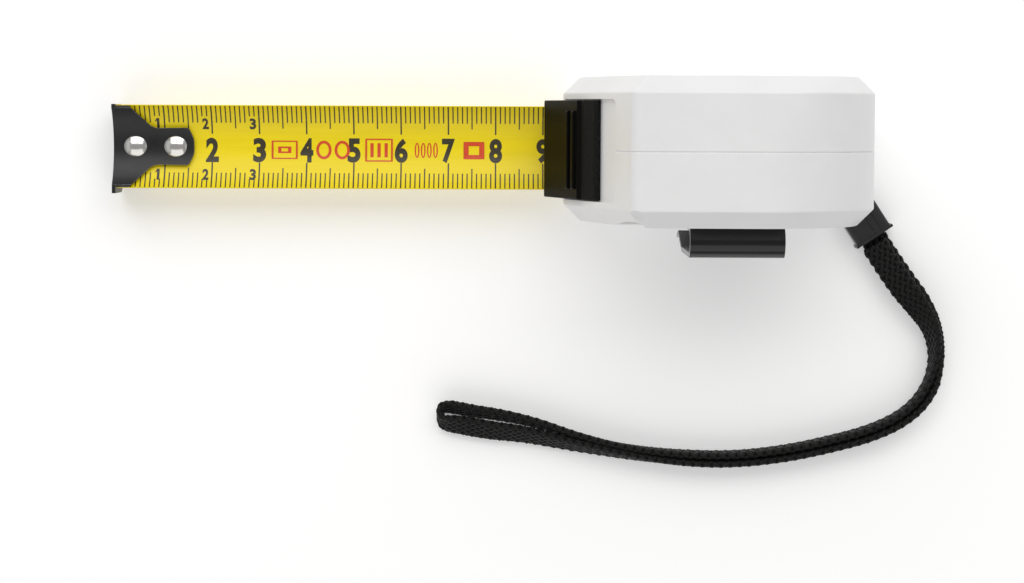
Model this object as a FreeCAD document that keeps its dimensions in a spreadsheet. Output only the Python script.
"""Pocket tape measure with a lock button, belt clip and wrist strap, as separate pieces.

Millimetres. +Z is up, the blade runs out along -X, the belt clip is on the -Y side, and the
origin is the centre of the case's flat base. The blade is drawn locked, partly out.
"""
import FreeCAD, Part
import math
import os
import re

Vector = FreeCAD.Vector
Rotation = FreeCAD.Rotation
Placement = FreeCAD.Placement

doc = FreeCAD.newDocument("TapeMeasure")

# ---------------------------------------------------------------- driving dimensions
SIZES = {
    "case_length": 61.6,        # along X, nose to rear
    "case_depth": 29.5,         # along Y, over both side faces
    "case_height": 61.0,        # base to crown
    "wall": 2.4,                # shell wall
    "side_bevel": 3.3,          # bevel round each side face
    "seam_bevel": 0.22,         # the fine V where the halves meet
    "base_chamfer": 3.5,        # slope between base and nose
    "nose_height": 26.0,        # where the nose turns into the front slope
    "crease_x": -18.4,          # top of the front slope
    "crease_height": 60.5,
    "reel_x": 3.0,              # axis of reel and arbor
    "reel_height": 34.2,
    "flange_radius": 24.0,
    "flange_thickness": 1.1,
    "coil_radius": 23.2,
    "barrel_radius": 17.4,
    "barrel_wall": 1.2,
    "arbor_radius": 4.0,
    "running_gap": 0.06,        # radial, reel on arbor
    "blade_width": 19.0,        # measured round the curve
    "blade_radius": 12.75,      # the blade's own curve
    "blade_thickness": 0.2,
    "blade_valley": 7.2,        # height of the blade's lowest line
    "blade_travel": 93.8,       # mouth to hook, as drawn
    "hook_thickness": 0.8,
    "hook_play": 0.8,           # the true-zero play, one hook thickness
    "hook_length": 16.2,
    "hook_leg_low": 9.9,        # reach of the leg on the clip side
    "hook_leg_high": 8.9,       # and on the plain side
    "bumper_proud": 0.5,
    "rivet_radius": 2.4,
    "rivet_height": 0.9,
    "rivet_shank": 1.45,
    "mouth_width": 19.8,
    "mouth_floor": 5.8,
    "mouth_top": 13.8,
    "lead_start": -14.5,        # where the blade begins to flatten toward the coil
    "recess_width": 20.4,       # the lock button's channel
    "recess_depth": 1.0,
    "recess_end": 27.4,         # up the slope from the nose
    "button_width": 20.0,
    "slider_width": 17.0,
    "clip_width": 18.8,
    "clip_thickness": 1.0,
    "clip_gap": 4.4,            # free space behind the clip
    "clip_top": 43.4,           # where its bend starts
    "collar_length": 7.0,
    "collar_width": 8.3,
    "collar_height": 4.6,
    "strap_width": 6.0,
    "strap_thickness": 1.7,
    "strap_leg_offset": 1.08,   # each leg from the loop's middle line
    "loop_opening": 0.35,       # how much further apart the legs are at each later point
    "strap_height": 3.25,       # middle of the strap above the table
    "pin_x": 26.2,              # the pin inside the rear wall that holds the strap
    "pin_y": -3.2,
    "pin_radius": 0.9,
    "tail_diameter": 1.6,
    "screw_radius": 1.05,
    "screw_head_radius": 1.9,
    "boss_radius": 2.1,
    "label_radius": 16.8,
    "label_thickness": 0.5,
}

sheet = doc.addObject("Spreadsheet::Sheet", "Sizes")
for row, (alias, value) in enumerate(SIZES.items(), start=1):
    sheet.set(f"A{row}", alias)
    sheet.set(f"B{row}", str(value))
    sheet.setAlias(f"B{row}", alias)
doc.recompute()


def size(alias):
    return float(getattr(sheet, alias))


ALIAS = re.compile(r"\b(" + "|".join(SIZES) + r")\b")


def bind(obj, **formulas):
    """Bind properties to formulas of sheet aliases. A double underscore stands for a dot."""
    for name, formula in formulas.items():
        text = ALIAS.sub(r"Sizes.\1", str(formula))
        obj.setExpression(name.replace("__", "."), text)


def bind_base(obj, corner):
    bind(obj, Placement__Base__x=corner[0], Placement__Base__y=corner[1],
         Placement__Base__z=corner[2])


# ---------------------------------------------------------------- primitives and booleans
ALONG_X = Rotation(Vector(0, 1, 0), 90)
ALONG_Y = Rotation(Vector(1, 0, 0), -90)
ALONG_Z = Rotation()


def block(name, corner, spans):
    """A box from its low corner, with each corner coordinate and span a formula."""
    obj = doc.addObject("Part::Box", name)
    bind(obj, Length=spans[0], Width=spans[1], Height=spans[2])
    bind_base(obj, corner)
    return obj


def rod(name, base, radius, length, turn=ALONG_Y):
    obj = doc.addObject("Part::Cylinder", name)
    obj.Placement = Placement(Vector(), turn)
    bind(obj, Radius=radius, Height=length)
    bind_base(obj, base)
    return obj


def fuse(name, *pieces):
    obj = doc.addObject("Part::MultiFuse", name)
    obj.Shapes = list(pieces)
    return obj


def cut(name, base, *tools):
    obj = doc.addObject("Part::Cut", name)
    obj.Base = base
    obj.Tool = tools[0] if len(tools) == 1 else fuse(name + "_tools", *tools)
    return obj


def common(name, first, second):
    obj = doc.addObject("Part::MultiCommon", name)
    obj.Shapes = [first, second]
    return obj


def group(name, pieces):
    """Several separate solids that share one node."""
    obj = doc.addObject("Part::Compound", name)
    obj.Links = list(pieces)
    return obj


def tube(name, base, outer, inner, length, turn=ALONG_Y):
    whole = rod(name + "_outer", base, outer, length, turn)
    bore = rod(name + "_bore", base, inner, length, turn)
    return cut(name, whole, bore)


# ---------------------------------------------------------------- sketched outlines
def unit(a, b):
    step = b - a
    return step / step.Length


def rounded(corners):
    """Line and arc edges of a closed outline. Each corner is (x, y, radius)."""
    points = [Vector(x, y, 0) for x, y, _ in corners]
    count = len(points)
    starts, ends, arcs = [], [], []
    for i, (x, y, radius) in enumerate(corners):
        here = points[i]
        back = unit(here, points[i - 1])
        ahead = unit(here, points[(i + 1) % count])
        half = back.getAngle(ahead) / 2
        reach = radius / math.tan(half)
        first = here + back * reach
        last = here + ahead * reach
        if radius > 0:
            middle = here + (back + ahead).normalize() * (radius / math.sin(half) - radius)
            arcs.append(Part.Arc(first, middle, last))
        else:
            arcs.append(None)
        starts.append(first)
        ends.append(last)
    edges = []
    for i in range(count):
        if arcs[i] is not None:
            edges.append(arcs[i])
        following = starts[(i + 1) % count]
        if (following - ends[i]).Length > 1e-6:
            edges.append(Part.LineSegment(ends[i], following))
    return edges


def inset(corners, depth):
    """The same convex outline, moved in by depth on every side."""
    points = [Vector(x, y, 0) for x, y, _ in corners]
    count = len(points)
    centre = sum(points, Vector()) / count
    lines = []
    for i in range(count):
        along = unit(points[i], points[(i + 1) % count])
        normal = Vector(-along.y, along.x, 0)
        if normal.dot(centre - points[i]) < 0:
            normal = -normal
        lines.append((points[i] + normal * depth, along))
    moved = []
    for i, (_, _, radius) in enumerate(corners):
        p, u = lines[i - 1]
        q, v = lines[i]
        step = (q - p).cross(v).z / u.cross(v).z
        here = p + u * step
        moved.append((here.x, here.y, max(radius - depth, 0.4)))
    return moved


def plane_of(body, role):
    return next(f for f in body.Origin.OriginFeatures if f.Role == role)


def sketch_on(body, role, corners, name, offset=0):
    """A closed sketch on one of the body's own origin planes, or parallel to it."""
    sketch = body.newObject("Sketcher::SketchObject", name)
    sketch.AttachmentSupport = [(plane_of(body, role), "")]
    sketch.MapMode = "FlatFace"
    sketch.AttachmentOffset = Placement(Vector(0, 0, offset), Rotation())
    for edge in rounded(corners):
        sketch.addGeometry(edge, False)
    return sketch


def plate(name, corners, width):
    """An XZ outline padded evenly to both sides of the Y = 0 plane."""
    body = doc.addObject("PartDesign::Body", name)
    sketch = sketch_on(body, "XZ_Plane", corners, name + "_outline")
    pad = body.newObject("PartDesign::Pad", name + "_pad")
    pad.Profile = sketch
    pad.SideType = "Symmetric"
    bind(pad, Length=width)
    return body


# ---------------------------------------------------------------- places worked out once
FRONT = -size("case_length") / 2
REAR = size("case_length") / 2
SLOPE = Vector(size("crease_x") - FRONT, 0, size("crease_height") - size("nose_height"))
SLOPE_ANGLE = math.degrees(math.atan2(SLOPE.z, SLOPE.x))
UP_SLOPE = SLOPE / SLOPE.Length
OUT_OF_SLOPE = Vector(-UP_SLOPE.z, 0, UP_SLOPE.x)
NOSE_TOP = Vector(FRONT, 0, size("nose_height"))
ON_SLOPE = Rotation(Vector(0, 1, 0), -SLOPE_ANGLE)
BLADE_AXIS = size("blade_valley") + size("blade_radius")
BLADE_HALF_ANGLE = math.degrees(size("blade_width") / size("blade_radius") / 2)
ZERO = FRONT - size("bumper_proud") - size("blade_travel")


def slope_point(up, out):
    """X and Z of a point so far up the front slope from the nose and so far out of it."""
    here = NOSE_TOP + UP_SLOPE * up + OUT_OF_SLOPE * out
    return here.x, here.z


def slope_corners(corners):
    return [(*slope_point(up, out), radius) for up, out, radius in corners]


def slope_block(name, up, out, width, length, height):
    """A box lying along the front slope. Its low end is at (up, out), centred on Y = 0."""
    obj = doc.addObject("Part::Box", name)
    bind(obj, Length=length, Width=width, Height=height)
    doc.recompute()
    x, z = slope_point(up, out)
    obj.Placement = Placement(Vector(x, -obj.Width.Value / 2, z), ON_SLOPE)
    return obj


# ---------------------------------------------------------------- case shells
CASE_OUTLINE = [
    (FRONT + size("base_chamfer"), 0, 2.5),
    (REAR, 0, 3.5),
    (REAR, size("case_height"), 24.0),
    (size("crease_x"), size("crease_height"), 2.0),
    (FRONT, size("nose_height"), 4.0),
    (FRONT, size("base_chamfer"), 1.5),
]
CASE_SCREWS = [(19.0, 5.7), (-10.0, 5.2), (-13.2, 55.0)]
HALF_CAVITY = "case_depth / 2 - wall"
EDGE_ROUND = 0.5


def half_case(name, toward_clip):
    """One moulded half: padded outline, lofted bevel, soft edges, hollow from the seam."""
    body = doc.addObject("PartDesign::Body", name + "_tray")
    outline = sketch_on(body, "XZ_Plane", CASE_OUTLINE, name + "_outline")
    pad = body.newObject("PartDesign::Pad", name + "_pad")
    pad.Profile = outline
    pad.Reversed = not toward_clip
    bind(pad, Length="case_depth / 2 - side_bevel")
    doc.recompute()

    half = size("case_depth") / 2
    shoulder = half - size("side_bevel")
    sign = 1 if toward_clip else -1
    wide = sketch_on(body, "XZ_Plane", CASE_OUTLINE, name + "_bevel_foot", sign * shoulder)
    narrow = sketch_on(body, "XZ_Plane", inset(CASE_OUTLINE, size("side_bevel")),
                       name + "_bevel_top", sign * half)
    bevel = body.newObject("PartDesign::AdditiveLoft", name + "_bevel")
    bevel.Profile = wide
    bevel.Sections = [narrow]
    bevel.Ruled = True
    doc.recompute()

    fillet = body.newObject("PartDesign::Fillet", name + "_soft_edges")
    soft = edges_at_depth(bevel.Shape, half) + edges_at_depth(bevel.Shape, shoulder)
    fillet.Base = (bevel, soft)
    fillet.Radius = EDGE_ROUND
    doc.recompute()

    seam = body.newObject("PartDesign::Chamfer", name + "_seam")
    seam.Base = (fillet, edges_at_depth(fillet.Shape, 0))
    bind(seam, Size="seam_bevel")
    doc.recompute()

    before = seam.Shape.Volume
    cavity = sketch_on(body, "XZ_Plane", inset(CASE_OUTLINE, size("wall")), name + "_cavity")
    pocket = body.newObject("PartDesign::Pocket", name + "_hollow")
    pocket.Profile = cavity
    pocket.Reversed = toward_clip
    bind(pocket, Length=HALF_CAVITY)
    doc.recompute()
    if pocket.Shape.Volume > 0.6 * before:
        raise RuntimeError(name + ": the cavity was not cut")
    body.Tip = pocket
    return body


def edges_at_depth(shape, depth):
    """Names of the edges that lie wholly in the plane |Y| = depth."""
    names = []
    for i, edge in enumerate(shape.Edges, start=1):
        ys = [abs(v.Point.y) for v in edge.Vertexes] + [abs(edge.CenterOfMass.y)]
        if all(abs(y - depth) < 1e-4 for y in ys):
            names.append(f"Edge{i}")
    return names


def front_openings(tag):
    """Tools that open the mouth, the button's channel, its slot and the bumper's seat."""
    mouth = block(tag + "_mouth", ("-case_length / 2 - 1", "-mouth_width / 2", "mouth_floor"),
                  ("wall + 3", "mouth_width", "mouth_top - mouth_floor"))
    channel_box = slope_block(tag + "_channel_box", -14, -size("recess_depth"),
                              "recess_width", "recess_end + 14", 6)
    channel = doc.addObject("Part::Fillet", tag + "_channel")
    channel.Base = channel_box
    channel.Edges = [(i, 1.2, 1.2) for i in upper_end_edges(channel_box.Shape)]
    slot = slope_block(tag + "_slot", 0.2, -4, 6.2, 16.8, 4)
    seat = block(tag + "_bumper_seat", ("-case_length / 2 - 1", -7, 3.9), (2.2, 14, 1.5))
    return [mouth, channel, slot, seat]


def upper_end_edges(shape):
    """Numbers of the two edges that stand out of the slope at a box's upper end."""
    found = []
    for i, edge in enumerate(shape.Edges, start=1):
        along = edge.tangentAt(edge.FirstParameter)
        if abs(along.dot(OUT_OF_SLOPE)) < 0.99:
            continue
        if (edge.CenterOfMass - NOSE_TOP).dot(UP_SLOPE) > 20:
            found.append(i)
    return found


def screw_boss(tag, i, x, z, toward_clip):
    """A tube from the shell's side wall to the seam."""
    low = "-case_depth / 2 + wall" if toward_clip else 0
    return rod(f"{tag}_boss{i}", (x, low, z), "boss_radius", HALF_CAVITY)


def make_clip_side_shell():
    tray = half_case("clip_side", True)
    bosses = [screw_boss("clip_side", i, x, z, True) for i, (x, z) in enumerate(CASE_SCREWS)]
    ribs = [block(f"clip_rib{i}", (x, "-case_depth / 2 - 0.5", 24), (0.9, 1.5, 21))
            for i, x in enumerate((-7.9, 13.0))]
    shelf = block("pin_shelf", (23.9, -6.2, 7.0), (4.9, 5.8, 1.8))
    solid = fuse("clip_side_solid", tray, *bosses, *ribs, shelf)

    holes = []
    for i, (x, z) in enumerate(CASE_SCREWS):
        holes.append(rod(f"clip_side_hole{i}", (x, -16, z), "screw_radius + 0.1", 17))
        holes.append(rod(f"clip_side_bore{i}", (x, -16, z), "screw_head_radius + 0.25", 2.65))
    holes.append(rod("clip_screw_hole", ("reel_x", -16, "reel_height"), "screw_radius + 0.1", 5))
    holes.append(block("strap_window", (27.6, -15.5, 2.0), (5, 14.3, 4.4)))
    holes.append(rod("pin_hole", ("pin_x", "pin_y", 0.8), "pin_radius", 8.5, ALONG_Z))
    groove = rod("finger_groove", (-18.3, -17.1, 40), 3.5, 25, ALONG_Z)
    scallop = doc.addObject("Part::Sphere", "scallop")
    scallop.Radius = 4.2
    scallop.Placement = Placement(Vector(-18.3, -15.3, 61.0), Rotation())
    return cut("clip_side_shell", solid, *front_openings("clip_side"), *holes, groove, scallop)


def make_plain_side_shell():
    tray = half_case("plain_side", False)
    bosses = [screw_boss("plain_side", i, x, z, False) for i, (x, z) in enumerate(CASE_SCREWS)]
    solid = fuse("plain_side_solid", tray, *bosses)
    holes = [rod(f"plain_side_hole{i}", (x, -1, z), "screw_radius + 0.05", 11)
             for i, (x, z) in enumerate(CASE_SCREWS)]
    holes.append(rod("centre_screw_hole", ("reel_x", 11, "reel_height"), "screw_radius + 0.1", 5))
    holes.append(rod("centre_screw_bore", ("reel_x", 12.85, "reel_height"), 2.2, 3))
    label_seat = rod("label_seat", ("reel_x", "case_depth / 2 - label_thickness + 0.1",
                                    "reel_height"), "label_radius + 0.15", 2)
    notch = doc.addObject("Part::Sphere", "notch")
    notch.Radius = 2.6
    notch.Placement = Placement(Vector(-18.6, 14.6, 60.6), Rotation())
    return cut("plain_side_shell", solid, *front_openings("plain_side"), *holes, label_seat, notch)


# ---------------------------------------------------------------- fasteners
def cross_recess(name, x, y, z):
    """A cross-head driver's recess, open toward -Y at y."""
    arms = [block(f"{name}_arm{i}", (x - dx / 2, y, z - dz / 2), (dx, 0.8, dz))
            for i, (dx, dz) in enumerate(((2.2, 0.5), (0.5, 2.2)))]
    return arms


def screw(name, x, z, head_y, tip_y, head_radius="screw_head_radius"):
    """A pan-head screw along Y. Its head is at head_y and its tip at tip_y."""
    inward = 1 if tip_y > head_y else -1
    head_low = head_y if inward > 0 else head_y - 1.3
    shank_low = min(head_y + inward * 1.2, tip_y)
    shank_length = abs(tip_y - head_y) - 1.2
    head = rod(name + "_head", (x, head_low, z), head_radius, 1.3)
    shank = rod(name + "_shank", (x, shank_low, z), "screw_radius", shank_length)
    recess_low = head_y - 0.1 if inward > 0 else head_y - 0.7
    return cut(name, fuse(name + "_blank", head, shank),
               *cross_recess(name, x, recess_low, z))


def make_case_screws():
    return group("case_screws", [screw(f"case_screw{i}", x, z, -14.65, 8.5)
                                 for i, (x, z) in enumerate(CASE_SCREWS)])


# ---------------------------------------------------------------- reel, spring and arbor
def disc(name, low, length, outer):
    """A reel flange with its bore on the arbor."""
    return tube(name, ("reel_x", low, "reel_height"), outer, "arbor_radius + running_gap", length)


def make_reel_drum():
    flange = disc("drum_flange", "-blade_width / 2 - 0.25 - flange_thickness",
                  "flange_thickness", "flange_radius")
    barrel = tube("barrel", ("reel_x", "-blade_width / 2 - 0.3", "reel_height"),
                  "barrel_radius", "barrel_radius - barrel_wall", "blade_width + 0.55")
    return fuse("reel_drum", flange, barrel)


def make_blade_coil():
    return tube("blade_coil", ("reel_x", "-blade_width / 2", "reel_height"),
                "coil_radius", "barrel_radius + 0.1", "blade_width")


def make_power_spring():
    """A flat strip wound as half-turn arcs about two centres half a pitch apart."""
    pitch = 1.2
    strip = 0.35
    half_turns = 17
    first_radius = 5.2
    centre = Vector(size("reel_x"), 0, size("reel_height"))
    faces = []
    for k in range(half_turns):
        side = 1 if k % 2 == 0 else -1
        middle = centre + Vector(side * pitch / 4, 0, 0)
        radius = first_radius + k * pitch / 2
        outer = half_ring(middle, radius + strip, side)
        inner = half_ring(middle, radius, side)
        ends = [Part.LineSegment(outer.StartPoint, inner.StartPoint),
                Part.LineSegment(outer.EndPoint, inner.EndPoint)]
        wire = Part.Wire(Part.__sortEdges__([g.toShape() for g in (outer, inner, *ends)]))
        faces.append(Part.Face(wire))
    solids = [face.extrude(Vector(0, 17, 0)) for face in faces]
    whole = solids[0].fuse(solids[1:]).removeSplitter()
    whole.translate(Vector(0, -8.5, 0))
    obj = doc.addObject("Part::Feature", "power_spring")
    obj.Shape = whole
    return obj


def half_ring(middle, radius, side):
    """The upper or lower half of a circle in the XZ plane."""
    left = middle + Vector(-radius, 0, 0)
    right = middle + Vector(radius, 0, 0)
    crown = middle + Vector(0, 0, radius * side)
    return Part.Arc(left, crown, right)


# ---------------------------------------------------------------- blade and hook
def curved_strip(name, start, length, inner, outer, half_angle):
    """A strip along X with the blade's cross-curve, hollow side up."""
    sector = doc.addObject("Part::Cylinder", name + "_sector")
    turn = ALONG_X.multiply(Rotation(Vector(0, 0, 1), -half_angle))
    sector.Placement = Placement(Vector(start, 0, BLADE_AXIS), turn)
    sector.Angle = 2 * half_angle
    bind(sector, Radius=outer, Height=length)
    bore = rod(name + "_hollow", (start - 1, 0, BLADE_AXIS), inner, f"{length} + 2", ALONG_X)
    return cut(name, sector, bore)


RIVET_PLACES = [ZERO + 3.8, ZERO + 12.3]
FACE_GAP = 0.05


def make_blade_run():
    """The curved part of the blade, from the hook's leg to where it starts to flatten."""
    length = size("lead_start") - ZERO - 2 * FACE_GAP
    strip = curved_strip("blade_strip", ZERO + FACE_GAP, f"{length}", "blade_radius",
                         "blade_radius + blade_thickness", BLADE_HALF_ANGLE)
    slots = []
    for i, x in enumerate(RIVET_PLACES):
        for j, shift in enumerate((0, -size("hook_play"))):
            slots.append(rod(f"blade_slot{i}{j}", (x + shift, 0, 5), "rivet_shank + 0.12", 5, ALONG_Z))
        slots.append(block(f"blade_slot_web{i}", (x - size("hook_play"), "-rivet_shank - 0.12", 5),
                           ("hook_play", "2 * rivet_shank + 0.24", 5)))
    return cut("blade_run", strip, *slots)


def make_blade_lead():
    """Inside the case the strip flattens to meet the coil."""
    thick = size("blade_thickness")
    half = math.radians(BLADE_HALF_ANGLE)
    axis = Vector(size("lead_start"), 0, BLADE_AXIS)

    def on_curve(radius, angle):
        return axis + Vector(0, radius * math.sin(angle), -radius * math.cos(angle))

    inner = size("blade_radius")
    outer = inner + thick
    upper = Part.Arc(on_curve(inner, -half), on_curve(inner, 0), on_curve(inner, half))
    lower = Part.Arc(on_curve(outer, -half), on_curve(outer, 0), on_curve(outer, half))
    curved = Part.Wire([upper.toShape(),
                        Part.LineSegment(upper.EndPoint, lower.EndPoint).toShape(),
                        lower.toShape(),
                        Part.LineSegment(lower.StartPoint, upper.StartPoint).toShape()])
    top = size("reel_height") - size("coil_radius") - 0.3
    x = size("reel_x")
    side = size("blade_width") / 2
    corners = [Vector(x, -side, top), Vector(x, side, top),
               Vector(x, side, top - thick), Vector(x, -side, top - thick)]
    flat = Part.makePolygon(corners + corners[:1])
    obj = doc.addObject("Part::Feature", "blade_lead")
    obj.Shape = Part.makeLoft([curved, flat], True, True)
    return obj


def make_end_hook():
    """A curved plate that tapers to a rounded tongue, and the leg turned down at its end."""
    plate_strip = curved_strip("hook_strip", ZERO - size("hook_thickness"),
                               "hook_length + hook_thickness",
                               f"blade_radius - {FACE_GAP} - hook_thickness",
                               f"blade_radius - {FACE_GAP}", BLADE_HALF_ANGLE)
    body = doc.addObject("PartDesign::Body", "hook_plan")
    half = 8.8
    tongue = 3.95
    x = ZERO - size("hook_thickness")
    tip = ZERO + size("hook_length")
    lower_side = [(x, -half, 0), (ZERO + 2.5, -half, 0.8), (ZERO + 7.6, -tongue + 0.1, 3.0),
                  (tip - 1.1, -tongue, 0.7), (tip, -1.5, 3.0)]
    upper_side = [(along, -across, radius) for along, across, radius in reversed(lower_side)]
    plan = lower_side + upper_side
    sketch = sketch_on(body, "XY_Plane", plan, "hook_plan_outline")
    pad = body.newObject("PartDesign::Pad", "hook_plan_pad")
    pad.Profile = sketch
    pad.Length = 20
    top = common("hook_plate", plate_strip, body)
    leg_box = block("hook_leg_box", (x, "-hook_leg_low", 1.0),
                    ("hook_thickness", "hook_leg_low + hook_leg_high", 10.2))
    doc.recompute()
    leg_round = doc.addObject("Part::Fillet", "hook_leg_round")
    leg_round.Base = leg_box
    leg_round.Edges = [(i, 2.2, 2.2) for i in low_corner_edges(leg_box.Shape)]
    hollow = rod("hook_leg_hollow", (x - 1, 0, BLADE_AXIS),
                 f"blade_radius - {FACE_GAP} - hook_thickness", 3, ALONG_X)
    leg = cut("hook_leg", leg_round, hollow)
    return fuse("end_hook", top, leg)


def low_corner_edges(shape):
    """Numbers of the two lower edges that run along X."""
    low = shape.BoundBox.ZMin
    found = []
    for i, edge in enumerate(shape.Edges, start=1):
        along = edge.tangentAt(edge.FirstParameter)
        if abs(along.x) > 0.99 and edge.CenterOfMass.z < low + 0.1:
            found.append(i)
    return found


def make_hook_rivets():
    seat = BLADE_AXIS - size("blade_radius") + FACE_GAP + size("hook_thickness")
    rivets = []
    for i, x in enumerate(RIVET_PLACES):
        radius = size("rivet_radius")
        rise = size("rivet_height")
        ball_radius = (radius ** 2 + rise ** 2) / (2 * rise)
        dome = doc.addObject("Part::Sphere", f"rivet_dome{i}")
        dome.Radius = ball_radius
        dome.Angle1 = math.degrees(math.asin((ball_radius - rise) / ball_radius))
        dome.Placement = Placement(Vector(x, 0, seat + rise - ball_radius), Rotation())
        shank = rod(f"rivet_shank{i}", (x, 0, 6.4), "rivet_shank", seat - 6.3, ALONG_Z)
        tail = rod(f"rivet_tail{i}", (x, 0, 6.35), 2.1, 0.6, ALONG_Z)
        rivets.append(fuse(f"rivet{i}", dome, shank, tail))
    return group("hook_rivets", rivets)


# ---------------------------------------------------------------- lock
def make_lock_button():
    """A slab along the front slope that overhangs the nose, with two grip ridges."""
    body = plate("button_slab", slope_corners([
        (-9.8, -0.85, 0.0), (-10.2, 0.3, 0.6), (-9.1, 1.2, 0.8), (9.8, 1.2, 0.6),
        (10.9, 0.65, 0.6), (16.7, 0.3, 0.6), (17.8, -0.2, 0.4), (17.4, -0.85, 0.0)]),
        "button_width")
    doc.recompute()
    softened = doc.addObject("Part::Fillet", "button_soft")
    softened.Base = body
    softened.Edges = [(i, 0.3, 0.3) for i in side_edges(body.Shape)]
    ridges = []
    for i, up in enumerate((4.6, 7.7)):
        ridge = slope_block(f"button_ridge{i}", up, 0.9, 15.8, 1.4, 0.95)
        doc.recompute()
        soft = doc.addObject("Part::Fillet", f"button_ridge_soft{i}")
        soft.Base = ridge
        soft.Edges = [(n, 0.35, 0.35) for n in outer_edges(ridge.Shape)]
        ridges.append(soft)
    return fuse("lock_button", softened, *ridges)


def side_edges(shape):
    """Numbers of the outline edges on the slab's outward side, at both ends of its width."""
    half = size("button_width") / 2
    found = []
    for i, edge in enumerate(shape.Edges, start=1):
        here = edge.CenterOfMass
        out = (here - NOSE_TOP).dot(OUT_OF_SLOPE)
        if abs(abs(here.y) - half) < 1e-4 and out > -0.8:
            found.append(i)
    return found


def outer_edges(shape):
    """Numbers of the four edges round a box's outward face."""
    outs = [(edge.CenterOfMass - NOSE_TOP).dot(OUT_OF_SLOPE) for edge in shape.Edges]
    return [i for i, out in enumerate(outs, start=1) if out > max(outs) - 1e-4]


def make_lock_slider():
    """The inner carrier: plate behind the slope, drop leg, arm, stem and two brake feet."""
    carrier = plate("slider_carrier", [
        (*slope_point(12.0, -2.7), 0.3), (*slope_point(12.0, -3.9), 0.3),
        (-26.4, 26.8, 0.5), (-26.4, 13.3, 1.0), (-19.6, 13.3, 0.4), (-19.6, 11.9, 0.3),
        (-27.9, 11.9, 1.5), (-27.9, 26.0, 0.2)], "slider_width")
    stem = slope_block("slider_stem", 0.6, -2.9, 5.8, 7.8, 2.05)
    feet = []
    for i, low in enumerate((-8.4, 4.4)):
        foot_block = block(f"foot_block{i}", (-22.6, low, "blade_valley"), (3.0, 4.0, 5.0))
        cheek = rod(f"foot_curve{i}", (-23, 0, BLADE_AXIS), "blade_radius - 0.05", 4, ALONG_X)
        feet.append(common(f"brake_foot{i}", foot_block, cheek))
    return fuse("lock_slider", carrier, stem, *feet)


def make_brake_block():
    """Sits on the case floor under the blade. Its centre is grooved for the rivet tails."""
    whole = plate("brake_blank", [(-28.2, 4.65, 0), (-26.15, 2.5, 0), (-18.3, 2.5, 0),
                                  (-18.3, 10.35, 0), (-28.2, 10.35, 0)], 18.8)
    bed = rod("brake_bed", (-29, 0, BLADE_AXIS), "blade_radius + blade_thickness + 0.1", 12, ALONG_X)
    groove = block("brake_groove", (-29, -2.8, 5.9), (12, 5.6, 6))
    return cut("brake_block", whole, bed, groove)


def make_hook_bumper():
    return block("hook_bumper", ("-case_length / 2 - bumper_proud", -6.9, 4.0),
                 ("bumper_proud + 1.15", 13.8, 1.3))


# ---------------------------------------------------------------- belt clip
def make_belt_clip():
    """One bent strip: leaf on the case, bend at the top, long outer leaf with a flared lip."""
    side = -size("case_depth") / 2
    thick = size("clip_thickness")
    gap = size("clip_gap")
    top = size("clip_top")
    radius = gap / 2
    inner_face = side - thick
    outer_face = inner_face - gap
    middle = Vector(0, inner_face - radius, top)

    def at(y, z):
        return Vector(0, y, z)

    def bend(reach):
        return Part.Arc(middle + at(reach, 0), middle + at(0, reach), middle + at(-reach, 0))

    outside = bend(radius + thick)
    inside = bend(radius)
    lip_out = [at(outer_face - thick, 20), at(side - 2.6 - thick, 9.5), at(side - 4.2, 4.6)]
    lip_in = [at(side - 3.5, 4.2), at(side - 1.5 - thick, 9.3), at(outer_face, 20)]
    leaf_foot = 27
    outer_leaf = [outside.EndPoint, *lip_out, *lip_in, inside.EndPoint]
    inner_leaf = [inside.StartPoint, at(inner_face, leaf_foot), at(side, leaf_foot),
                  outside.StartPoint]
    edges = [outside.toShape(), inside.toShape()]
    for run in (outer_leaf, inner_leaf):
        edges += [Part.LineSegment(a, b).toShape() for a, b in zip(run, run[1:])]
    wire = Part.Wire(Part.__sortEdges__(edges))
    strip = Part.Face(wire).extrude(Vector(size("clip_width"), 0, 0))
    strip.translate(Vector(size("reel_x") - size("clip_width") / 2, 0, 0))
    leaf = doc.addObject("Part::Feature", "clip_strip")
    leaf.Shape = strip
    hole = rod("clip_hole", ("reel_x", -17, "reel_height"), "screw_radius + 0.1", 4)
    driver_way = rod("clip_driver_way", ("reel_x", -23, "reel_height"), 2.6, 4.2)
    return cut("belt_clip", leaf, hole, driver_way)


# ---------------------------------------------------------------- wrist strap
COLLAR_END = Vector(36.0, -18.8, 0)
STRAP_OUT = Vector(0.55, -0.835, 0).normalize()
STRAP_SIDE = Vector(-STRAP_OUT.y, STRAP_OUT.x, 0)

# Middle line of the doubled strap on the table, from the collar to where the loop opens.
STRAP_LINE = [
    (36.0, -18.8), (40.6, -25.8), (45.0, -31.6), (48.6, -37.6), (49.9, -44.6), (48.4, -51.8),
    (43.6, -57.3), (36.2, -61.0), (27.4, -63.4), (17.4, -65.6), (6.0, -66.9), (-6.0, -66.6),
    (-17.6, -65.0), (-28.4, -62.4), (-38.6, -59.3), (-47.2, -57.8),
]
# The open end of the loop, from the leg nearer the case to the other one.
LOOP_END = [(-52.6, -55.1), (-55.9, -55.3), (-57.0, -57.3), (-55.9, -59.3), (-52.6, -59.5)]
LOOP_OPENS_AT = 13          # the point of the middle line where the legs begin to part


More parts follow.
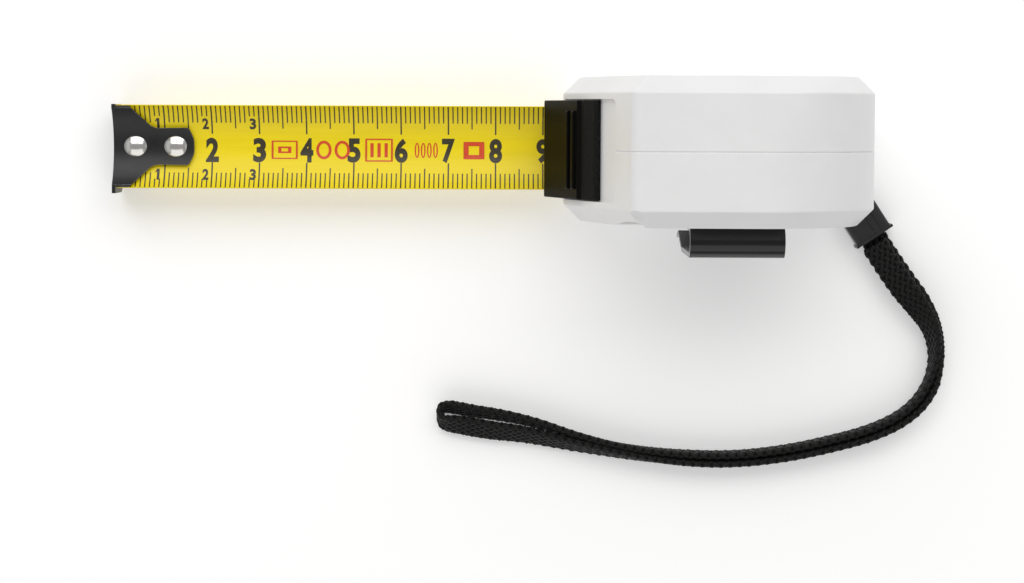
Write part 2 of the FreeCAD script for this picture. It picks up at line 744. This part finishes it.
def strap_route():
    """Out along one leg, round the loop's end and back along the other."""
    near, far = [], []
    for i, (x, y) in enumerate(STRAP_LINE):
        before = STRAP_LINE[max(i - 1, 0)]
        after = STRAP_LINE[min(i + 1, len(STRAP_LINE) - 1)]
        along = Vector(after[0] - before[0], after[1] - before[1], 0).normalize()
        if i == 0:
            along = STRAP_OUT
        opened = max(0, i - LOOP_OPENS_AT + 1)
        offset = size("strap_leg_offset") + size("loop_opening") * opened
        across = Vector(along.y, -along.x, 0) * offset
        near.append(Vector(x, y, 0) + across)
        far.append(Vector(x, y, 0) - across)
    end = [Vector(x, y, 0) for x, y in LOOP_END]
    return near + end + far[::-1]


def arc_route(points):
    """Straight runs joined by tangent arcs, each as large as its two runs allow."""
    edges = []
    start = points[0]
    radii = []
    for before, here, after in zip(points, points[1:], points[2:]):
        back = unit(here, before)
        ahead = unit(here, after)
        half_turn = (math.pi - back.getAngle(ahead)) / 2
        reach = 0.45 * min((before - here).Length, (after - here).Length)
        radius = reach / math.tan(half_turn)
        radii.append(radius)
        first = here + back * reach
        last = here + ahead * reach
        depth = radius / math.cos(half_turn) - radius
        middle = here + (back + ahead).normalize() * depth
        edges.append(Part.LineSegment(start, first).toShape())
        edges.append(Part.Arc(first, middle, last).toShape())
        start = last
    edges.append(Part.LineSegment(start, points[-1]).toShape())
    print("strap arc radii:", " ".join(f"{r:.1f}" for r in radii))
    return Part.Wire(edges)


def make_wrist_strap():
    """The braided strap stands on edge on the table, in a long doubled loop."""
    route = arc_route(strap_route())
    route.translate(Vector(0, 0, size("strap_height")))
    start = route.Vertexes[0].Point
    wide = STRAP_SIDE * (size("strap_thickness") / 2)
    tall = Vector(0, 0, size("strap_width") / 2)
    corners = [start + wide + tall, start - wide + tall, start - wide - tall, start + wide - tall]
    section = Part.makePolygon(corners + corners[:1])
    sweep = Part.BRepOffsetAPI.MakePipeShell(route)
    sweep.setBiNormalMode(Vector(0, 0, 1))
    sweep.add(section)
    sweep.build()
    sweep.makeSolid()
    solid = sweep.shape()
    expected = size("strap_thickness") * size("strap_width") * route.Length
    print(f"strap centreline {route.Length:.1f} mm, volume {solid.Volume:.0f} of {expected:.0f}")
    obj = doc.addObject("Part::Feature", "wrist_strap")
    obj.Shape = solid
    return obj


def collar_block(name, start, length, side, width, low, height):
    """A box in line with the collar. start is back from its strap end, side is across it."""
    obj = doc.addObject("Part::Box", name)
    bind(obj, Length=length, Width=width, Height=height)
    doc.recompute()
    corner = COLLAR_END - STRAP_OUT * start + STRAP_SIDE * (side - obj.Width.Value / 2)
    turn = math.degrees(math.atan2(STRAP_OUT.y, STRAP_OUT.x))
    obj.Placement = Placement(corner + Vector(0, 0, low), Rotation(Vector(0, 0, 1), turn))
    return obj


def make_strap_collar():
    """A flat crimped sleeve that grips both legs, with a lip at its end and two crimp ribs."""
    low = 0.3
    sleeve = collar_block("collar_sleeve", size("collar_length"), "collar_length", 0,
                          "collar_width", low, "collar_height")
    doc.recompute()
    soft = doc.addObject("Part::Fillet", "collar_soft")
    soft.Base = sleeve
    long_edges = [i for i, edge in enumerate(sleeve.Shape.Edges, start=1)
                  if abs(edge.tangentAt(edge.FirstParameter).dot(STRAP_OUT)) > 0.99]
    soft.Edges = [(i, 0.9, 0.9) for i in long_edges]
    lip = collar_block("collar_lip", 0.55, 0.55, 0, "collar_width + 0.7", low - 0.15,
                       "collar_height + 0.4")
    ribs = [collar_block(f"collar_rib{i}", size("collar_length"), "collar_length", side, 0.9,
                         low + 0.5, "collar_height - 0.2")
            for i, side in enumerate((1.0, 2.6))]
    return fuse("strap_collar", soft, lip, *ribs)


def make_strap_tail():
    """A thin cord from the collar, round the pin and back."""
    pin = Vector(size("pin_x"), size("pin_y"), 4.2)
    start = COLLAR_END - STRAP_OUT * (size("collar_length") + 0.12)
    start.z = pin.z
    pull = unit(pin, start)
    side = Vector(-pull.y, pull.x, 0)
    reach = size("pin_radius") + size("tail_diameter") / 2 + 0.1
    a = start + side * reach
    b = pin + side * reach
    c = pin - pull * reach
    d = pin - side * reach
    e = start - side * reach
    path = Part.Wire([Part.LineSegment(a, b).toShape(), Part.Arc(b, c, d).toShape(),
                      Part.LineSegment(d, e).toShape()])
    ring = Part.Wire(Part.Circle(a, pull, size("tail_diameter") / 2).toShape())
    obj = doc.addObject("Part::Feature", "strap_tail")
    obj.Shape = path.makePipeShell([ring], True, False)
    return obj


# ---------------------------------------------------------------- build everything
def make_small_parts():
    arbor = rod("spring_arbor_rod", ("reel_x", "-case_depth / 2 + wall", "reel_height"),
                "arbor_radius", "case_depth - 2 * wall")
    bores = [rod(f"arbor_bore{i}", ("reel_x", low, "reel_height"), "screw_radius + 0.05", 7)
             for i, low in enumerate((-13, 6))]
    slit = block("arbor_slit", ("reel_x - 0.3", -4.5, "reel_height - 5"), (0.6, 9, 5))
    washers = [tube(f"arbor_washer{i}", ("reel_x", low, "reel_height"), 8, "arbor_radius + 0.02", 1.1)
               for i, low in enumerate((-12.3, 11.2))]
    return [
        cut("spring_arbor", arbor, *bores, slit),
        group("arbor_washers", washers),
        disc("reel_cover", "blade_width / 2 + 0.25", "flange_thickness", "flange_radius"),
        screw("centre_screw", size("reel_x"), size("reel_height"), 14.2, 7.5, 1.9),
        screw("clip_screw", size("reel_x"), size("reel_height"), -17.1, -7.5, 2.2),
        rod("label_disc", ("reel_x", "case_depth / 2 - label_thickness + 0.1", "reel_height"),
            "label_radius", "label_thickness"),
        rod("strap_pin", ("pin_x", "pin_y", 0.85), "pin_radius", 8.2, ALONG_Z),
    ]


NODES = [
    make_clip_side_shell(),
    make_plain_side_shell(),
    make_case_screws(),
    make_reel_drum(),
    make_blade_coil(),
    make_power_spring(),
    make_blade_run(),
    make_blade_lead(),
    make_end_hook(),
    make_hook_rivets(),
    make_lock_button(),
    make_lock_slider(),
    make_brake_block(),
    make_hook_bumper(),
    make_belt_clip(),
    make_strap_collar(),
    make_strap_tail(),
    make_wrist_strap(),
    *make_small_parts(),
]


def check_document():
    doc.recompute()
    failed = [o.Name for o in doc.Objects if "Invalid" in o.State or "Error" in o.State]
    if failed:
        raise RuntimeError("failed to build: " + ", ".join(failed))
    for node in NODES:
        shape = node.Shape
        if shape.isNull() or not shape.isValid() or shape.Volume <= 0:
            raise RuntimeError(f"{node.Label} is not a valid solid")


def export():
    os.makedirs("parts", exist_ok=True)
    for node in NODES:
        node.Shape.exportStep(os.path.join("parts", node.Label + ".step"))
        print(f"{node.Label}: {node.Shape.Volume:.1f} mm3, {len(node.Shape.Solids)} solid(s)")


check_document()
export()
